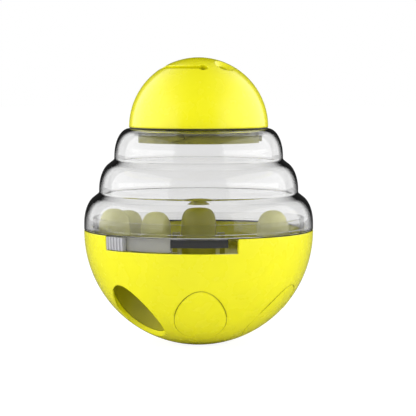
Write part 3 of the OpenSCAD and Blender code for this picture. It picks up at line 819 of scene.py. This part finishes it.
class TUMBLER_OT_ring(bpy.types.Operator):
    """Builds the smoky adjusting ring with its gate leaf, and the ribbed thumb tab"""
    bl_idname = "tumbler.ring"
    bl_label = "Adjusting ring"

    def execute(self, context):
        scene = context.scene
        s, bowl, colours = scene.tumbler_ring, scene.tumbler_bowl, scene.tumbler_colours
        skirt_from, window_from, window_to, tab_from, tab_to = (math.degrees(a) for a in (
            s.skirt_from, s.window_from, s.window_to, s.tab_from, s.tab_to))
        column = np.concatenate((
            np.linspace(skirt_from, window_from, 41)[:-1], np.linspace(window_from, window_to, 27)[:-1],
            np.linspace(window_to, skirt_from + 360.0, 202)[:-1]))
        middle_of = (column + np.append(column[1:], skirt_from + 360.0)) / 2
        row = np.array([s.low, s.window, s.skirt, s.band_high, s.high])
        keep = np.ones((len(column), len(row) - 1), bool)
        keep[middle_of < window_from, 2] = False
        keep[(middle_of > window_from) & (middle_of < window_to), 1:3] = False
        outer, inner = (turned(radius, column[:, None], row) for radius in (s.outside, s.inside))
        # The leaf reaches into the ring's wall, which carries it, and the skirt and band end below the wall
        overlap, gap = 0.0002, 0.00005
        leaf = block(s.leaf_in, s.inside + overlap, s.low, s.low + s.leaf,
                     math.degrees(s.leaf_from), math.degrees(s.leaf_to), 40)
        smoky = clear_plastic("smoky plastic", colours.smoky, 0.02, 0.05, spread=0.03, ior=1.06)
        put_piece("adjusting_ring_dressed", [shell(outer, inner, keep), leaf], "ring", smoky,
                  ["adjusting_ring"], 0.00012)
        # Painted reflection: the skirt's milky tint stands in for the softboxes' reflection on the ring in
        # the notch.
        for name, plastic, tint, clearness, low, start, end in (
                ("ring_skirt", "milky plastic", colours.milky, 0.55, s.skirt, s.skirt_from, s.skirt_to),
                ("ring_band", "dark smoky plastic", colours.band, 0.5, s.band_low, s.band_from, s.band_to)):
            quads = block(s.inside, s.band, low, s.band_high - gap,
                          math.degrees(start), math.degrees(end), 40)
            material = clear_plastic(plastic, tint, 0.05, 0.1, spread=0.03, clearness=clearness)
            put_piece(name, [quads], "ring", material, ["adjusting_ring"], 0.0001)
        margin, tab_gap = 1.0, 0.00008
        rib = (tab_to - tab_from - 2 * margin) / (2 * s.ribs - 1)
        start = tab_from + margin + 2 * rib * np.arange(s.ribs)
        groove = (start[:, None] + rib * np.array([0.0, 0.22, 0.78, 1.0])).ravel()
        column = np.concatenate(([tab_from], groove, [tab_to]))
        deep = s.rib_depth * np.concatenate(([0], np.tile([0, 1, 1, 0], s.ribs), [0]))
        row = np.linspace(s.skirt, s.band_high, 9)
        ball = np.sqrt(bowl.radius ** 2 - (row - bowl.middle) ** 2)
        outer = turned(ball[None, :] - deep[:, None], column[:, None], row)
        inner = turned(s.band + tab_gap, column[:, None], row)
        quads = [shell(outer, inner, np.ones((len(column) - 1, len(row) - 1), bool), wrap=False)]
        grey = moulded("grey plastic", colours.grey, 0.3, 0.38)
        put_piece("ribbed_tab", quads, "ring", grey, ["thumb_tab"], 0.00012)
        return {"FINISHED"}


def dome(foot, draft, height, round_height, grow):
    """Half outline of a round-topped peg: a straight side up to a top whose radius goes with the
    cosine of the angle to the power 0.8 and whose height goes with its sine."""
    turn = np.radians(np.linspace(0.0, 90.0, 30))
    side = np.linspace(0.0, 1.0, 8)[:-1]
    wide, low = foot - draft + grow, height - round_height
    straight = np.stack((foot + grow + (wide - foot - grow) * side, low * side), axis=1)
    crown = np.stack((wide * np.cos(turn).clip(0) ** 0.8, low + (round_height + grow) * np.sin(turn)), axis=1)
    return np.concatenate((straight, crown))


class TUMBLER_OT_pegs(bpy.types.Operator):
    """Builds the round-topped pegs and the column's cap, and dresses the tray"""
    bl_idname = "tumbler.pegs"
    bl_label = "Pegs and column"

    def execute(self, context):
        scene = context.scene
        s, ring, colours = scene.tumbler_pegs, scene.tumbler_ring, scene.tumbler_colours
        olive = yellow_inside(colours)
        # Painted shade and painted reflection: a darker, whitened yellow stands in for the cover's shade and
        # the reflections on it in front of the pegs.
        pale = moulded("veiled lemon plastic", colours.pale, 0.42, 0.50)
        azimuth = np.arange(0.0, 360.0, 4.0)
        # Angle of each peg, distance of its axis from the ring's inside, and height
        pegs = (("peg_left", -78.3, 0.0074, s.tall), ("peg_left_rear", -112.5, 0.0105, s.short),
                ("peg_inner", -96.1, 0.0257, s.short), ("peg_right", 57.5, 0.0074, s.tall))
        for name, turn, inset, height in pegs:
            outer = dome(s.radius, s.draft, height, s.round_height, 0.0)
            inner = dome(s.radius, s.draft, height, s.round_height, -s.wall)
            grid = revolve(np.concatenate((outer, inner[::-1], outer[:1])), azimuth)
            grid = grid + turned(ring.inside - inset, turn, s.floor)
            put_piece(f"{name}_dressed", [loops(grid)], "bowl", pale, [name])
        height = s.column_top - s.shoulder
        draft, edge, hollow, tall = 0.0002, 0.0003, 0.00008, s.flange_height
        outer = dome(s.column, draft, height, s.column_round, 0.0)
        outer = outer[outer[:, 1] > tall + edge]
        foot = np.array([
            [s.flange, 0.0], [s.flange, tall - edge], [s.flange - edge / 3, tall - edge / 3],
            [s.flange - edge, tall], [s.column + edge, tall], [s.column + hollow, tall + hollow]])
        inner = dome(s.column, draft, height, s.column_round, -s.wall)
        line = np.concatenate((foot, outer, inner[::-1], foot[:1]))
        grid = revolve(line, azimuth) + (0.0, 0.0, s.shoulder)
        put_piece("column_top", [loops(grid)], "bowl", olive, ["column_cap"])
        dress_node("treat_tray", olive)
        return {"FINISHED"}


class TUMBLER_OT_hidden(bpy.types.Operator):
    """Dresses the weight, its pad, the pedestal and the screws"""
    bl_idname = "tumbler.hidden"
    bl_label = "Weight and screws"

    def execute(self, context):
        colours = context.scene.tumbler_colours
        dress_node("pedestal", yellow_inside(colours))
        dress_node("counterweight", metal("cast iron", colours.iron, 0.5, 0.65, 300.0))
        dress_node("weight_pad", moulded("seal rubber", colours.seal, 0.5, 0.6))
        steel = metal("screw steel", colours.steel, 0.25, 0.4, 500.0)
        for name in ("pedestal_screws", "tray_screw", "cap_screws"):
            dress_node(name, steel)
        return {"FINISHED"}


def aim_at(thing, place, target):
    """Puts a lamp or the camera at a place, looking at a target."""
    thing.location = place
    thing.rotation_euler = Vector(target - place).to_track_quat("-Z", "Y").to_euler()


def softbox(name, azimuth, s):
    """A flat lamp that faces the axis: its power is pi times its area times its radiance."""
    lamp = bpy.data.lights.new(name, "AREA")
    lamp.shape = "RECTANGLE"
    lamp.size, lamp.size_y = s.lamp_width, s.lamp_tall
    lamp.energy = math.pi * s.lamp_width * s.lamp_tall * s.lamp_radiance
    box = bpy.data.objects.new(name, lamp)
    box.visible_glossy = False
    bpy.context.scene.collection.objects.link(box)
    aim_at(box, turned(s.lamp_distance, azimuth, s.lamp_middle), np.array([0.0, 0.0, s.lamp_middle]))


def kinds_of_ray(tree):
    """One for the camera's rays, for what it sees through clear plastic, for light that enters through
    clear plastic and for reflected rays, each by itself."""
    path = add(tree, "ShaderNodeLightPath").outputs
    kinds = ("Camera", "Transmission", "Glossy")
    camera, clear, glossy = (Level(tree, path[f"Is {kind} Ray"]) for kind in kinds)
    entering = clear * Level(tree, path["Diffuse Depth"]).at_most(1.0)
    return camera, clear - entering, entering, glossy * (1.0 - clear)


def cards(tree, direction):
    """What clear plastic sees in a direction: a white card behind the object and pale walls all round,
    darker high up and low down."""
    right, back, up = parts_of(tree, direction)
    behind = abs(right).step(0.28, 0.36, 1.0, 0.0) * back.step(0.0, 0.15, 0.0, 1.0)
    return behind.at_least(abs(up).step(0.35, 0.7, 0.62, 0.2))


class TUMBLER_OT_stage(bpy.types.Operator):
    """Sets up the camera, the room, the floor and the softboxes"""
    bl_idname = "tumbler.stage"
    bl_label = "Stage"

    def execute(self, context):
        scene = context.scene
        s = scene.tumbler_stage
        camera = bpy.data.objects.new("camera", bpy.data.cameras.new("camera"))
        scene.collection.objects.link(camera)
        camera.data.lens = s.lens
        camera.data.sensor_width = 36.0
        camera.data.shift_x = s.shift_x
        camera.data.shift_y = s.shift_y
        camera.data.clip_start = 0.01
        target = np.array([0.0, 0.0, s.aim])
        away = s.distance * np.array([0.0, -math.cos(s.elevation), math.sin(s.elevation)])
        aim_at(camera, target + away, target)
        scene.camera = camera
        scene.view_settings.view_transform = "Standard"
        turn = math.degrees(s.lamp_angle)
        softbox("left softbox", -turn, s)
        softbox("right softbox", turn, s)
        self.room(scene, s)
        self.floor(scene)
        return {"FINISHED"}

    def room(self, scene, s):
        """White to the camera, cards to clear plastic and an even light to what stands under the cover.
        Gloss sees a soft panel on either side, set out by the slope of the surface that mirrors it to the
        front: the share of the way right over the root of two less twice the way back. The panels open
        wider and start further out high up, and get brighter outwards. Plain surfaces see an even grey,
        lighter above."""
        scene.world = bpy.data.worlds.new("room")
        tree = fresh_tree(scene.world)
        camera, through, entering, mirror = kinds_of_ray(tree)
        direction = add(tree, "ShaderNodeTexCoord").outputs["Generated"]
        right, back, up = parts_of(tree, direction)
        slope = abs(right) / (2.0001 - back * 2.0) ** 0.5
        high = up.at_least(0.0)
        panel = slope.step(0.25 - high * 0.24, high * 0.25 + 0.31, 0.03, 0.62)
        panel = panel * slope.step(0.30, 0.80, 1.0, 2.3) * back.step(0.72, 0.84, 1.0, 0.03) * s.panel
        plain = (up * 0.3 + 1.0) * s.ambient
        rest = 1.0 - (through + entering) - mirror
        seen = through * cards(tree, direction) + mirror * panel + entering * s.inside + rest * plain
        background = add(tree, "ShaderNodeBackground")
        background.inputs["Color"].default_value = (1.0, 1.0, 1.0, 1.0)
        join(tree, {background.inputs["Strength"]: camera.at_least(seen)})
        output = add(tree, "ShaderNodeOutputWorld")
        tree.links.new(background.outputs[0], output.inputs["Surface"])

    def floor(self, scene):
        """A pale round floor that shows white with the object's faint shadow, and darker in reflections.
        Clear plastic sees the room's cards in it, in the direction from a point above its middle."""
        material = bpy.data.materials.new("pale floor")
        tree = fresh_tree(material)
        camera, through, _, mirror = kinds_of_ray(tree)
        place = add(tree, "ShaderNodeTexCoord")
        lower = add(tree, "ShaderNodeVectorMath", operation="SUBTRACT")
        tree.links.new(place.outputs["Object"], lower.inputs[0])
        lower.inputs[1].default_value = (0.0, 0.0, 0.07)
        direction = add(tree, "ShaderNodeVectorMath", operation="NORMALIZE")
        tree.links.new(lower.outputs[0], direction.inputs[0])
        plain = add(tree, "ShaderNodeBsdfDiffuse")
        white = add(tree, "ShaderNodeEmission")
        mix = add(tree, "ShaderNodeMixShader")
        join(tree, {
            plain.inputs["Color"]: 0.95 - mirror * 0.79,
            white.inputs["Strength"]: camera * 1.14 + through * cards(tree, direction.outputs[0]),
            mix.inputs[0]: camera * 0.82 + through,
        })
        tree.links.new(plain.outputs[0], mix.inputs[1])
        tree.links.new(white.outputs[0], mix.inputs[2])
        output = add(tree, "ShaderNodeOutputMaterial")
        tree.links.new(mix.outputs[0], output.inputs["Surface"])
        turn = np.arange(0.0, 360.0, 5.0)
        points = np.concatenate((turned(6.0, turn, 0.0), [[0.0, 0.0, 0.0]]))
        edge = np.arange(len(turn))
        fan = np.stack((edge, np.roll(edge, -1), np.full(len(turn), len(turn))), axis=1)
        mesh = bpy.data.meshes.new("floor")
        mesh.from_pydata(points, [], fan.tolist())
        floor = bpy.data.objects.new("floor", mesh)
        scene.collection.objects.link(floor)
        mesh.materials.append(material)


class TUMBLER_PT_pieces(bpy.types.Panel):
    """Lists the tumbler's pieces in the sidebar"""
    bl_idname = "TUMBLER_PT_pieces"
    bl_label = "Treat Tumbler"
    bl_space_type = "VIEW_3D"
    bl_region_type = "UI"
    bl_category = "Tumbler"

    def draw(self, context):
        for operator in OPERATORS:
            self.layout.operator(operator.bl_idname)


GROUPS = {
    "tumbler_bowl": BowlSizes, "tumbler_cap": CapSizes, "tumbler_cover": CoverSizes,
    "tumbler_ring": RingSizes, "tumbler_pegs": PegSizes, "tumbler_colours": Colours,
    "tumbler_stage": StageSettings,
}
OPERATORS = (
    TUMBLER_OT_bowl, TUMBLER_OT_blanks, TUMBLER_OT_cap, TUMBLER_OT_cover, TUMBLER_OT_ring, TUMBLER_OT_pegs,
    TUMBLER_OT_hidden, TUMBLER_OT_stage,
)


def register():
    """Registers the sizes, the operators and the panel."""
    for name, group in GROUPS.items():
        bpy.utils.register_class(group)
        setattr(bpy.types.Scene, name, bpy.props.PointerProperty(type=group))
    for item in (*OPERATORS, TUMBLER_PT_pieces):
        bpy.utils.register_class(item)


def unregister():
    """Removes what register added."""
    for item in (TUMBLER_PT_pieces, *reversed(OPERATORS)):
        bpy.utils.unregister_class(item)
    for name, group in GROUPS.items():
        delattr(bpy.types.Scene, name)
        bpy.utils.unregister_class(group)


def main():
    """Builds every piece in order."""
    register()
    for operator in OPERATORS:
        group, name = operator.bl_idname.split(".")
        getattr(getattr(bpy.ops, group), name)()


if __name__ == "__main__":
    main()
